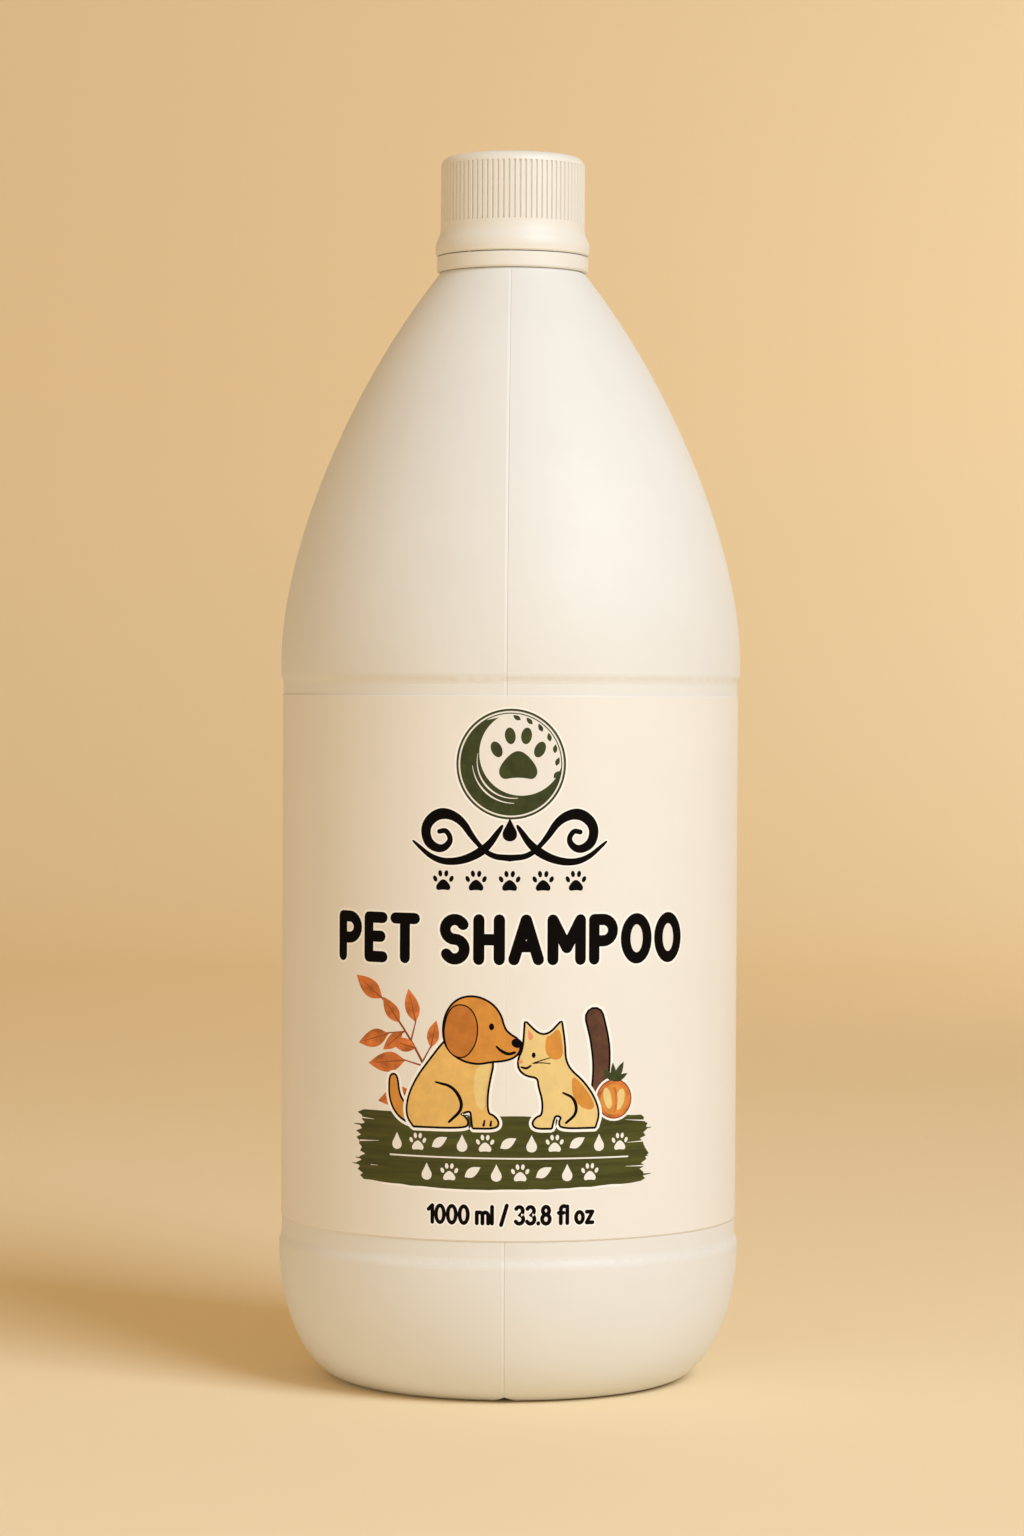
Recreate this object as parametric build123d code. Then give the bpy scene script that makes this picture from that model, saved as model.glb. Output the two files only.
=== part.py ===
from build123d import *

import os
from math import cos, pi, radians, sin

# A one-litre round blow-moulded bottle with a ribbed tamper-evident screw cap, in millimetres.
# +Z is up along the bottle's axis. The origin is the centre of the foot ring, on the surface
# that the bottle stands on. The printed front of the label faces -Y, and the mould's parting
# line runs up the bottle at -Y and +Y. The cap is screwed down tight.

# ---- Driving dimensions -------------------------------------------------------------------

# Bottle body
BULGE_R = 44.5          # widest radius, just above and just below the label panel
PANEL_R = 44.0          # the recessed label panel
WALL = 1.2              # wall of the body
FOOT_R = 31.0           # outer edge of the flat foot ring
FOOT_W = 2.4            # width of the flat foot ring
PUSH_UP = 4.5           # height of the dished centre of the base
BASE_H = 26.1           # height at which the rounded base reaches its widest
PANEL_Z0 = 28.5         # lower end of the label panel
PANEL_Z1 = 134.2        # upper end of the label panel
STEP_Z1 = 136.3         # where the step above the panel reaches the widest radius
SHOULDER_Z0 = 138.5     # where the shoulder starts to close in
SHOULDER_Z1 = 213.4     # where the shoulder meets the neck
SHOULDER_R1 = 14.3      # the shoulder's radius there
SHOULDER_RISE = 20.0    # how far up the lower end of the shoulder stays almost upright
SHOULDER_LEAN = 30.0    # how far down the upper end of the shoulder stays almost straight
SHOULDER_SLOPE = 0.78   # radius gained for each millimetre down at the upper end

# Marks left by the mould
SEAM_SLOPE_W = 0.53     # width of the parting line's gentle side
SEAM_STEP_W = 0.07      # width of its steep side
SEAM_D = 0.12           # depth of the parting line, a shallow V groove
NOTCH_W = 5.0           # width of the pinch-off notch across the foot ring
NOTCH_H = 1.15          # depth of that notch
WELD_W = 1.2            # width of the pinch-off weld across the dished base
WELD_H = 0.5            # how far the weld stands down from the dish

# Neck finish: 24 mm, eight threads to the inch, with a bead that holds the tamper band
PITCH = 25.4 / 8
BORE_R = 8.6
NECK_R = 10.85          # root of the neck's thread
THREAD_R = 11.95        # crest of the neck's thread
THREAD_TURNS = 1.5
COLLAR_R = 11.6         # neck below the thread
LEDGE_Z = 213.8         # flat top of the shoulder, under the tamper band
BEAD_R = 12.75
BEAD_Z0 = 215.2
BEAD_Z1 = 216.9
COLLAR_Z1 = 218.2
NECK_Z0 = 219.2
MOUTH_Z = 233.8
LIP = 0.5               # chamfer outside the lip
THREAD_TOP_GAP = 2.2    # from the lip down to the middle of the thread's upper end
NECK_THREAD_DEG = 20.0  # where round the neck the thread's lower end is
NECK_ROOT_HALF = 0.85   # half the thread's width at its root
NECK_CREST_HALF = 0.35  # half the thread's width at its crest

# Cap
CAP_TOP = 236.2
CAP_Z0 = 217.05         # lower edge of the cap
CAP_R = 13.95           # over the ribs
CAP_FLARE_R = 14.95     # the flared skirt
CAP_CORNER = 2.0        # rounded upper edge
CAP_ROOF = 1.38         # thickness of the cap's top
CAP_IN_R = 12.3         # inside wall, which is the root of the cap's thread
CAP_THREAD_R = 11.2     # crest of the cap's thread
CAP_THREAD_TURNS = 1.4
CAP_ROOT_HALF = 0.7
CAP_CREST_HALF = 0.25
CAP_THREAD_DROP = 1.03  # how far the cap's thread lies under the neck's, flank to flank
CAP_SKIRT_IN_R = 13.35  # inside of the flared skirt
RIB_COUNT = 82
RIB_Z0 = 223.2
RIB_Z1 = 234.4
RIB_GROOVE_W = 0.46
RIB_GROOVE_D = 0.34
GATE_R = 1.1            # moulding gate mark in the middle of the top
GATE_D = 0.15

# Liner, tamper band and the webs between the band and the cap
LINER_R = 11.75
LINER_T = 1.0
LINER_GAP = 0.02        # the liner's clearance from the lip and from the cap's top
BAND_R = 14.65
BAND_IN_R = 13.1
BAND_Z0 = 213.88
BAND_Z1 = 216.9
BAND_EDGE = 0.25        # rounding of the band's upper outer edge
BAND_LOW_EDGE = 0.5     # rounding of its lower outer edge
CLIP_R = 12.2           # inner radius of the clips that catch under the bead
CLIP_Z0 = 214.2
CLIP_Z1 = 214.85
CLIP_COUNT = 10
CLIP_GAP_DEG = 12.0
WEB_COUNT = 10
WEB_W = 0.6
WEB_R0 = 13.45
WEB_R1 = 14.05
WEB_GAP = 0.02          # the snapped upper end of each web

# Label
LABEL_T = 0.12
LABEL_Z0 = 31.4
LABEL_Z1 = 132.2
LABEL_LAP_DEG = 7.0     # overlap of the label's two ends, at the back

BIG = 60.0              # larger than the bottle's radius, for cutting tools
NECK_THREAD_Z0 = MOUTH_Z - THREAD_TOP_GAP - THREAD_TURNS * PITCH


# ---- Helpers ------------------------------------------------------------------------------

def turned(edges):
    """The solid that a closed outline in the XZ plane sweeps when it is turned about Z."""
    outline = Wire(edges)
    return revolve(Plane.XZ * Face(outline), axis=Axis.Z)


def path_line(*points):
    """Straight edges through the points, given as (radius, height)."""
    return [Line(a, b) for a, b in zip(points, points[1:])]


def ramp_box(origin, normal):
    """A block, lower than one thread pitch, that lies on the side of normal from origin."""
    face = Plane(origin=origin, x_dir=(0, 0, 1), z_dir=normal)
    height = 0.9 * PITCH
    return face * Box(height, 8, 6, align=(Align.CENTER, Align.CENTER, Align.MIN))


def thread_ridge(root_r, crest_r, root_half, crest_half, turns, z0, start_deg):
    """A right-hand thread ridge on a wall of radius root_r, with both ends ramped down.

    z0 is the height of the ridge's middle at its lower end. The ridge points outwards if
    crest_r is more than root_r, and inwards if it is less.
    """
    outward = 1 if crest_r > root_r else -1
    buried = -0.25 * outward
    depth = crest_r - root_r
    helix = Helix(pitch=PITCH, height=turns * PITCH, radius=root_r, center=(0, 0, z0))
    section_plane = Plane(origin=helix @ 0, x_dir=(1, 0, 0), z_dir=helix % 0)
    section = Polygon(
        (buried, -root_half),
        (0, -root_half),
        (depth, -crest_half),
        (depth, crest_half),
        (0, root_half),
        (buried, root_half),
        align=None,
    )
    ridge = sweep(section_plane * section, path=helix, is_frenet=True)
    lean = radians(25)
    z1 = z0 + turns * PITCH
    low_cut = ramp_box((root_r, 0, z0), (outward * cos(lean), -sin(lean), 0))
    high_cut = ramp_box((root_r, 0, z1), (outward * cos(lean), sin(lean), 0))
    high_cut = Rot(0, 0, 360 * turns) * high_cut
    return Rot(0, 0, start_deg) * (ridge - low_cut - high_cut)


# ---- Bottle -------------------------------------------------------------------------------

def body_outline(inset, top):
    """The side of the bottle moved in by inset, from the foot ring up to the point top."""
    bulge = BULGE_R - inset
    panel = PANEL_R - inset
    base = EllipticalCenterArc(
        (FOOT_R, BASE_H), bulge - FOOT_R, BASE_H - inset, start_angle=-90, arc_size=90
    )
    low_step_z = 0.5 * (BASE_H + PANEL_Z0)
    low_step = Bezier((bulge, BASE_H), (bulge, low_step_z), (panel, low_step_z), (panel, PANEL_Z0))
    side = Line((panel, PANEL_Z0), (panel, PANEL_Z1))
    high_step_z = 0.5 * (PANEL_Z1 + STEP_Z1)
    high_step = Bezier(
        (panel, PANEL_Z1), (panel, high_step_z), (bulge, high_step_z), (bulge, STEP_Z1)
    )
    bulge_side = Line((bulge, STEP_Z1), (bulge, SHOULDER_Z0))
    lean_z = SHOULDER_LEAN / (1 + SHOULDER_SLOPE**2) ** 0.5
    shoulder = Bezier(
        (bulge, SHOULDER_Z0),
        (bulge, SHOULDER_Z0 + SHOULDER_RISE),
        (SHOULDER_R1 + lean_z * SHOULDER_SLOPE - inset, SHOULDER_Z1 - lean_z),
        top,
    )
    return [base, low_step, side, high_step, bulge_side, shoulder]


def dish_outline(lift):
    """The dished base from the foot ring to the axis, moved up by lift."""
    inner = FOOT_R - FOOT_W
    foot = Line((FOOT_R, lift), (inner, lift))
    rise = ThreePointArc((inner, lift), (inner - 0.45, lift + 0.25), (inner - 1, lift + 0.9))
    dish = Bezier(
        (inner - 1, lift + 0.9),
        (0.75 * inner, lift + 0.6 * PUSH_UP),
        (0.35 * inner, lift + PUSH_UP),
        (0, lift + PUSH_UP),
    )
    return [foot, rise, dish]


def outer_solid(inset=0.0):
    """The bottle's outside as a filled solid, up to the ledge under the neck."""
    top = (SHOULDER_R1 - inset, SHOULDER_Z1)
    ledge_r = SHOULDER_R1 - 0.4
    close = path_line(top, (ledge_r, LEDGE_Z), (0, LEDGE_Z), (0, inset + PUSH_UP))
    return turned(body_outline(inset, top) + close + dish_outline(inset))


def cavity_solid():
    """The space inside the body, up to the bottom of the neck's bore."""
    top = (BORE_R, SHOULDER_Z1 - 1)
    close = path_line(top, (0, top[1]), (0, WALL + PUSH_UP))
    return turned(body_outline(WALL, top) + close + dish_outline(WALL))


def neck_solid():
    """The neck with its tamper bead and lip, filled, without the thread."""
    outside = [
        (0, LEDGE_Z - 3),
        (COLLAR_R, LEDGE_Z - 3),
        (COLLAR_R, BEAD_Z0),
        (BEAD_R, BEAD_Z0),
        (BEAD_R, BEAD_Z0 + 0.4),
        (COLLAR_R, BEAD_Z1),
        (COLLAR_R, COLLAR_Z1),
        (NECK_R, NECK_Z0),
        (NECK_R, MOUTH_Z - LIP),
        (NECK_R - LIP, MOUTH_Z),
        (0, MOUTH_Z),
        (0, LEDGE_Z - 3),
    ]
    return turned(path_line(*outside))


def bore_cutter():
    """The neck's bore, with a small chamfer inside the lip."""
    chamfer = 0.4
    outline = [
        (0, SHOULDER_Z1 - 4),
        (BORE_R, SHOULDER_Z1 - 4),
        (BORE_R, MOUTH_Z - chamfer),
        (BORE_R + chamfer, MOUTH_Z),
        (BORE_R + chamfer, MOUTH_Z + 1),
        (0, MOUTH_Z + 1),
        (0, SHOULDER_Z1 - 4),
    ]
    return turned(path_line(*outline))


def half_section(x, inset):
    """The front half of the body's filled section, moved in by inset, in the plane at x."""
    top = (SHOULDER_R1 - inset, SHOULDER_Z1)
    close = path_line(top, (0, SHOULDER_Z1), (0, inset), (FOOT_R, inset))
    front = Plane(origin=(x, 0, 0), x_dir=(0, -1, 0), z_dir=(-1, 0, 0))
    return front * Face(Wire(body_outline(inset, top) + close))


def parting_groove():
    """The parting line at the front: a small step between the mould's halves.

    It is a V groove with a gentle side and a steep side, from the foot to the ledge. It comes
    in lengths, because it is cut one length at a time, and it leaves out 0.2 mm at the edge above
    each step.
    """
    over = 0.05
    reach = 1 + over / SEAM_D
    left, right = -reach * SEAM_SLOPE_W, reach * SEAM_STEP_W
    sections = [half_section(left, -over), half_section(0, SEAM_D), half_section(right, -over)]
    uncut = loft(sections, ruled=True)
    spans = [
        (0.9, BASE_H + 0.5),
        (BASE_H + 0.5, PANEL_Z0 - 0.1),
        (PANEL_Z0 + 0.1, PANEL_Z1 - 0.1),
        (PANEL_Z1 - 0.1, PANEL_Z1 + 1),
        (PANEL_Z1 + 1, STEP_Z1 - 0.1),
        (STEP_Z1 + 0.1, SHOULDER_Z1 - 0.05),
    ]
    width = right - left - 0.02
    align = (Align.MIN, Align.MAX, Align.MIN)
    slabs = [Pos(left + 0.01, -BORE_R, low) * Box(width, BIG, high - low, align=align)
             for low, high in spans]
    return [slab - uncut for slab in slabs]


def pinch_notch():
    """The V-shaped notch that the pinched-off end of the parison leaves across the foot ring."""
    section = Polygon((-NOTCH_W, -NOTCH_H), (NOTCH_W, -NOTCH_H), (0, NOTCH_H), align=None)
    return extrude(Plane.XZ * section, amount=BIG, both=True)


def pinch_weld():
    """The low bar of the pinch-off weld across the dished base."""
    length = 2 * (FOOT_R - FOOT_W - 3)
    bar = Pos(0, 0, PUSH_UP / 2) * Box(WELD_W, length, PUSH_UP)
    return bar & (Pos(0, 0, -WELD_H) * outer_solid())


def make_bottle():
    thread = thread_ridge(
        NECK_R, THREAD_R, NECK_ROOT_HALF, NECK_CREST_HALF,
        THREAD_TURNS, NECK_THREAD_Z0, NECK_THREAD_DEG,
    )
    body = outer_solid()
    for length in parting_groove():
        body = body - length
        body = body - Rot(0, 0, 180) * length
    solid = body + (neck_solid() + thread)
    solid = solid - cavity_solid() - bore_cutter() - pinch_notch()
    return solid + pinch_weld()


# ---- Closure ------------------------------------------------------------------------------

def cap_outside():
    """The cap's outside: rounded top edge, straight ribbed wall and flared skirt."""
    corner_z = CAP_TOP - CAP_CORNER
    flare_z1 = RIB_Z0 - 0.6
    flare_z0 = CAP_Z0 + 1.3
    edge = 0.25
    corner = CenterArc((CAP_R - CAP_CORNER, corner_z), CAP_CORNER, 0, 90)
    flare = Bezier(
        (CAP_FLARE_R, flare_z0),
        (CAP_FLARE_R, flare_z0 + 2.0),
        (CAP_R + 0.05, flare_z1 - 2.2),
        (CAP_R, flare_z1),
    )
    straight = path_line(
        (0, CAP_Z0), (CAP_FLARE_R - 0.1 - edge, CAP_Z0),
        (CAP_FLARE_R - 0.1, CAP_Z0 + edge), (CAP_FLARE_R, flare_z0),
    )
    wall = [Line((CAP_R, flare_z1), (CAP_R, corner_z))]
    top = path_line((CAP_R - CAP_CORNER, CAP_TOP), (0, CAP_TOP), (0, CAP_Z0))
    return turned(straight + [flare] + wall + [corner] + top)


def cap_inside():
    """The space inside the cap."""
    roof_z = CAP_TOP - CAP_ROOF
    outline = [
        (0, CAP_Z0 - 1),
        (CAP_SKIRT_IN_R, CAP_Z0 - 1),
        (CAP_SKIRT_IN_R, CAP_Z0 + 1.6),
        (CAP_IN_R, CAP_Z0 + 4.2),
        (CAP_IN_R, roof_z),
        (0, roof_z),
        (0, CAP_Z0 - 1),
    ]
    return turned(path_line(*outline))


def rib_grooves():
    """The upright grooves between the ribs."""
    half = RIB_GROOVE_W / 2
    section = Polygon(
        (CAP_R - RIB_GROOVE_D, -0.35 * half),
        (CAP_R + 0.3, -1.6 * half),
        (CAP_R + 0.3, 1.6 * half),
        (CAP_R - RIB_GROOVE_D, 0.35 * half),
        align=None,
    )
    groove = Pos(0, 0, RIB_Z0) * extrude(section, amount=RIB_Z1 - RIB_Z0)
    return [Rot(0, 0, 360 * k / RIB_COUNT) * groove for k in range(RIB_COUNT)]


def make_cap():
    thread = thread_ridge(
        CAP_IN_R, CAP_THREAD_R, CAP_ROOT_HALF, CAP_CREST_HALF,
        CAP_THREAD_TURNS, NECK_THREAD_Z0 - CAP_THREAD_DROP, NECK_THREAD_DEG,
    )
    gate = Pos(0, 0, CAP_TOP - GATE_D / 2) * Cylinder(GATE_R, GATE_D)
    solid = cap_outside() - cap_inside() - rib_grooves() - gate
    return solid + thread


def make_liner():
    """A foam wad with a shallow ring where the lip presses into it."""
    z0 = MOUTH_Z + LINER_GAP
    z1 = z0 + LINER_T - 2 * LINER_GAP
    edge = 0.15
    outline = path_line(
        (0, z0), (LINER_R - edge, z0), (LINER_R, z0 + edge),
        (LINER_R, z1 - edge), (LINER_R - edge, z1), (0, z1), (0, z0),
    )
    return turned(outline)


def make_band():
    """The tamper band, with clips inside that catch under the neck's bead."""
    r, z0, z1 = BAND_R, BAND_Z0, BAND_Z1
    low, high = BAND_LOW_EDGE, BAND_EDGE
    low_edge = CenterArc((r - low, z0 + low), low, -90, 90)
    high_edge = CenterArc((r - high, z1 - high), high, 0, 90)
    outline = (
        path_line((BAND_IN_R, z0), (r - low, z0))
        + [low_edge, Line((r, z0 + low), (r, z1 - high)), high_edge]
        + path_line((r - high, z1), (BAND_IN_R, z1), (BAND_IN_R, z0))
    )
    ring = turned(outline)
    clips = turned(path_line(
        (CLIP_R, CLIP_Z1), (CLIP_R, CLIP_Z1 - 0.25), (BAND_IN_R, CLIP_Z0),
        (BAND_IN_R + 0.2, CLIP_Z0), (BAND_IN_R + 0.2, CLIP_Z1), (CLIP_R, CLIP_Z1),
    ))
    gap_w = 2 * pi * BAND_IN_R * CLIP_GAP_DEG / 360
    cutter = Pos(BAND_IN_R - 1, 0, CLIP_Z0) * Box(2, gap_w, 4)
    gaps = [Rot(0, 0, 360 * (k + 0.5) / CLIP_COUNT) * cutter for k in range(CLIP_COUNT)]
    return ring + (clips - gaps)


def make_webs():
    """The snap-off webs that stand on the band and reach up to the cap's lower edge."""
    height = CAP_Z0 - WEB_GAP - BAND_Z1
    web = Pos((WEB_R0 + WEB_R1) / 2, 0, BAND_Z1) * Box(
        WEB_R1 - WEB_R0, WEB_W, height, align=(Align.CENTER, Align.CENTER, Align.MIN)
    )
    return Compound([Rot(0, 0, 360 * (k + 0.5) / WEB_COUNT) * web for k in range(WEB_COUNT)])


# ---- Label --------------------------------------------------------------------------------

def make_label():
    """The wrap-round label, whose two ends overlap at the back."""
    height = LABEL_Z1 - LABEL_Z0
    outer = PANEL_R + LABEL_T
    base = (Align.CENTER, Align.CENTER, Align.MIN)
    ring = Cylinder(outer, height, align=base) - Cylinder(PANEL_R, height, align=base)
    lap_section = Rectangle(LABEL_T, height, align=(Align.MIN, Align.MIN))
    lap = revolve(Plane.XZ * Pos(outer, 0) * lap_section, Axis.Z, LABEL_LAP_DEG)
    lap = Rot(0, 0, 90 - LABEL_LAP_DEG / 2) * lap
    return Pos(0, 0, LABEL_Z0) * (ring + lap)


# ---- Output -------------------------------------------------------------------------------

PARTS = {
    "bottle": make_bottle,
    "wrap_label": make_label,
    "screw_cap": make_cap,
    "cap_liner": make_liner,
    "tamper_band": make_band,
    "band_webs": make_webs,
}

os.makedirs("parts", exist_ok=True)
for name, make in PARTS.items():
    export_step(make(), f"parts/{name}.step")

inside = cavity_solid() + bore_cutter()
print("brimful volume, ml:", round(inside.volume / 1000, 1))
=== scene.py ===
import random
from math import atan2, cos, exp, hypot, pi, radians, sin

import bpy
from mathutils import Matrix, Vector
from mathutils.geometry import delaunay_2d_cdt


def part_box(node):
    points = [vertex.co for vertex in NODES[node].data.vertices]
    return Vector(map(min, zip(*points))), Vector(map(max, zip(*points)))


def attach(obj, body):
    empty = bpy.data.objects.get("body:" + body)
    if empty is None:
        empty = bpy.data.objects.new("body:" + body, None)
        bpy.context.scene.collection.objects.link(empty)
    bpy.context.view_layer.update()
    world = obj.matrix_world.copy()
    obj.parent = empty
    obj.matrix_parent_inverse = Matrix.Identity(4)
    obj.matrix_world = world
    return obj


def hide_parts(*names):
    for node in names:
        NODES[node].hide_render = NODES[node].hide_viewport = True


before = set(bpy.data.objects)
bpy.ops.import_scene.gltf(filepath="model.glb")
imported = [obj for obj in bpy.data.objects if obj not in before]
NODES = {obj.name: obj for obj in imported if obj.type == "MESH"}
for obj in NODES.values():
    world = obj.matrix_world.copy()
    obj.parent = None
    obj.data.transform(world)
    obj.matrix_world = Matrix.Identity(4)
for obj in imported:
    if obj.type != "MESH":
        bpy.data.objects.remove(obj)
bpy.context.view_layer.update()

MM = 0.001


# ---- Camera -------------------------------------------------------------------------------

def make_camera():
    """0.82 m in front of the bottle, a little above its middle and to the right."""
    down, roll, turn = 1.02, -0.27, 0.8         # degrees
    data = bpy.data.cameras.new("camera")
    data.lens = 98.9
    data.sensor_width = 36.0
    camera = bpy.data.objects.new("camera", data)
    bpy.context.scene.collection.objects.link(camera)
    camera.location = (0.01173, -0.8199, 0.1326)
    camera.rotation_mode = "XYZ"
    camera.rotation_euler = (radians(90 - down), radians(roll), radians(turn))
    bpy.context.scene.camera = camera


# ---- Shader helpers -----------------------------------------------------------------------

def new_material(name, roughness, colour):
    """(material, its node tree, its Principled shader)"""
    material = bpy.data.materials.new(name)
    material.use_nodes = True
    tree = material.node_tree
    shader = next(n for n in tree.nodes if n.type == "BSDF_PRINCIPLED")
    shader.inputs["Roughness"].default_value = roughness
    shader.inputs["Base Color"].default_value = (*colour, 1)
    material.diffuse_color = (*colour, 1)
    return material, tree, shader


def object_place(tree, stretch=(1, 1, 1)):
    """The place on the object in metres, stretched along its axes."""
    place = tree.nodes.new("ShaderNodeTexCoord")
    mapping = tree.nodes.new("ShaderNodeMapping")
    mapping.inputs["Scale"].default_value = stretch
    tree.links.new(place.outputs["Object"], mapping.inputs["Vector"])
    return mapping.outputs["Vector"]


def noise(tree, place, size, detail=3.0, rough=0.55):
    """Noise from 0 to 1 with features of about size metres."""
    texture = tree.nodes.new("ShaderNodeTexNoise")
    texture.inputs["Scale"].default_value = 1 / size
    texture.inputs["Detail"].default_value = detail
    texture.inputs["Roughness"].default_value = rough
    tree.links.new(place, texture.inputs["Vector"])
    return texture.outputs["Fac"]


def ranged(tree, value, low, high, out_low, out_high):
    """value, with low to high spread over out_low to out_high and held at those ends."""
    node = tree.nodes.new("ShaderNodeMapRange")
    for socket, number in zip(node.inputs[1:5], (low, high, out_low, out_high)):
        socket.default_value = number
    tree.links.new(value, node.inputs["Value"])
    return node.outputs["Result"]


def mixed(tree, share, colour_a, colour_b):
    """colour_a where share is 0 and colour_b where it is 1."""
    node = tree.nodes.new("ShaderNodeMix")
    node.data_type = "RGBA"
    tree.links.new(share, node.inputs["Factor"])
    for socket, colour in zip(node.inputs[6:8], (colour_a, colour_b)):
        socket.default_value = (*colour, 1)
    return node.outputs[2]


def bumped(tree, height, depth, under=None):
    """A normal raised by height times depth metres, on top of the normal under."""
    node = tree.nodes.new("ShaderNodeBump")
    node.inputs["Strength"].default_value = 1.0
    node.inputs["Distance"].default_value = depth
    tree.links.new(height, node.inputs["Height"])
    if under is not None:
        tree.links.new(under, node.inputs["Normal"])
    return node.outputs["Normal"]


def shaded(colour, factor):
    """The colour made lighter or darker."""
    return tuple(min(1.0, c * factor) for c in colour)


# ---- Materials ----------------------------------------------------------------------------

WAVE_SIZE = 0.018       # slight unevenness of a moulded surface, metres
TONE_SIZE = 0.030       # patches of slightly different tone
WEAR_SIZE = 0.0045      # patches of slightly different gloss
FOAM_CELL = 0.0005
FILM_GRAIN = 0.0006
FILM_WAVE = 0.011


def moulded_plastic(name, colour, roughness, grain, grain_depth, wave_depth):
    """Satin polyolefin: a fine mould grain, slight waviness and faint changes of tone."""
    material, tree, shader = new_material(name, roughness, colour)
    place = object_place(tree)
    fine = noise(tree, place, grain, 2.0)
    waves = noise(tree, place, WAVE_SIZE, 1.0)
    tone = noise(tree, place, TONE_SIZE, 3.0)
    wear = noise(tree, place, WEAR_SIZE, 4.0)
    share = ranged(tree, tone, 0.3, 0.7, 0, 1)
    tinted = mixed(tree, share, shaded(colour, 0.975), shaded(colour, 1.015))
    tree.links.new(tinted, shader.inputs["Base Color"])
    rough = ranged(tree, wear, 0.3, 0.75, roughness - 0.04, roughness + 0.06)
    tree.links.new(rough, shader.inputs["Roughness"])
    normal = bumped(tree, waves, wave_depth)
    normal = bumped(tree, fine, grain_depth, normal)
    tree.links.new(normal, shader.inputs["Normal"])
    shader.inputs["IOR"].default_value = 1.52
    return material


def foam(name, colour):
    """Closed-cell foam: a fine pitted surface with no gloss, its pits darkened by painted shade."""
    material, tree, shader = new_material(name, 0.8, colour)
    place = object_place(tree)
    cells = tree.nodes.new("ShaderNodeTexVoronoi")
    cells.inputs["Scale"].default_value = 1 / FOAM_CELL
    tree.links.new(place, cells.inputs["Vector"])
    pit_depth_and_shade = ranged(tree, cells.outputs["Distance"], 0.0, 0.7, 0.0, 1.0)
    # painted shade: the colour is 10 per cent darker at each pit's centre, where the bump below
    # sinks
    tinted = mixed(tree, pit_depth_and_shade, shaded(colour, 0.9), colour)
    tree.links.new(tinted, shader.inputs["Base Color"])
    tree.links.new(bumped(tree, pit_depth_and_shade, 0.00004), shader.inputs["Normal"])
    return material


def ink(name, colour, dark, light, streak=1.0, patch=0.0022, roughness=0.46, specular=0.5):
    """Ink on the label's satin film. Its tone wanders from dark to light times colour.

    patch is the height of a patch of tone in metres, and streak is how many times longer it is
    round the bottle.
    """
    material, tree, shader = new_material(name, roughness, colour)
    place = object_place(tree, (1 / streak, 1 / streak, 1))
    tone = noise(tree, place, patch, 5.0, 0.62)
    share = ranged(tree, tone, 0.32, 0.68, 0, 1)
    tinted = mixed(tree, share, shaded(colour, dark), shaded(colour, light))
    tree.links.new(tinted, shader.inputs["Base Color"])
    grain = noise(tree, object_place(tree), FILM_GRAIN, 3.0)
    waves = noise(tree, object_place(tree), FILM_WAVE, 1.0)
    normal = bumped(tree, waves, 0.00003)
    normal = bumped(tree, grain, 0.000004, normal)
    tree.links.new(normal, shader.inputs["Normal"])
    shader.inputs["IOR"].default_value = 1.48
    shader.inputs["Specular IOR Level"].default_value = specular
    return material


def solid_ink(name, colour, dark=0.85, light=1.2, streak=1.0, patch=0.0022):
    """A dense ink, less shiny than the film."""
    return ink(name, colour, dark, light, streak, patch, roughness=0.5, specular=0.22)


INKS = {
    "film": ink("label_film", (0.81, 0.78, 0.73), 0.985, 1.01, patch=0.02),
    "keyline": ink("ink_keyline", (0.92, 0.90, 0.87), 0.99, 1.0),
    "black": ink("ink_black", (0.002, 0.001, 0.0008), 0.8, 1.5, roughness=0.6, specular=0.06),
    "green": solid_ink("ink_green", (0.040, 0.050, 0.013), 0.75, 1.3),
    "olive": solid_ink("ink_olive", (0.062, 0.063, 0.011), 0.70, 1.3, 14.0, 0.0011),
    "white": solid_ink("ink_white", (0.84, 0.82, 0.77), 0.97, 1.0),
    "orange": solid_ink("ink_orange", (0.56, 0.16, 0.036), 0.62, 1.4, 1.5),
    "rust": solid_ink("ink_rust", (0.28, 0.065, 0.014), 0.8, 1.2),
    "gold": solid_ink("ink_gold", (0.64, 0.27, 0.045), 0.88, 1.1),
    "amber": solid_ink("ink_amber", (0.50, 0.17, 0.026), 0.88, 1.12),
    "sand": solid_ink("ink_sand", (0.76, 0.47, 0.14), 0.9, 1.08),
    "cream": solid_ink("ink_cream", (0.78, 0.58, 0.24), 0.94, 1.05),
    "blush": solid_ink("ink_blush", (0.78, 0.28, 0.16), 0.9, 1.1),
    "brown": solid_ink("ink_brown", (0.095, 0.040, 0.022), 0.75, 1.4),
}


# ---- Flat shapes, in millimetres: x round the bottle from the front's middle, y up ---------

CLOSEST = 0.02          # points of a smoothed outline nearer to each other than this are merged


def arc(cx, cy, rx, ry, start=0, sweep=360, count=20):
    """Points along an ellipse's arc, angles in degrees."""
    steps = [radians(start + sweep * k / count) for k in range(count + 1)]
    return [(cx + rx * cos(a), cy + ry * sin(a)) for a in steps]


def ellipse(cx, cy, rx, ry, tilt=0, count=28):
    """A closed ellipse, turned by tilt degrees."""
    c, s = cos(radians(tilt)), sin(radians(tilt))
    flat = arc(0, 0, rx, ry, count=count)[:-1]
    return [(cx + x * c - y * s, cy + x * s + y * c) for x, y in flat]


def placed(points, cx, cy, scale=1.0):
    """The points scaled, then moved by (cx, cy)."""
    return [(cx + scale * x, cy + scale * y) for x, y in points]


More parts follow.
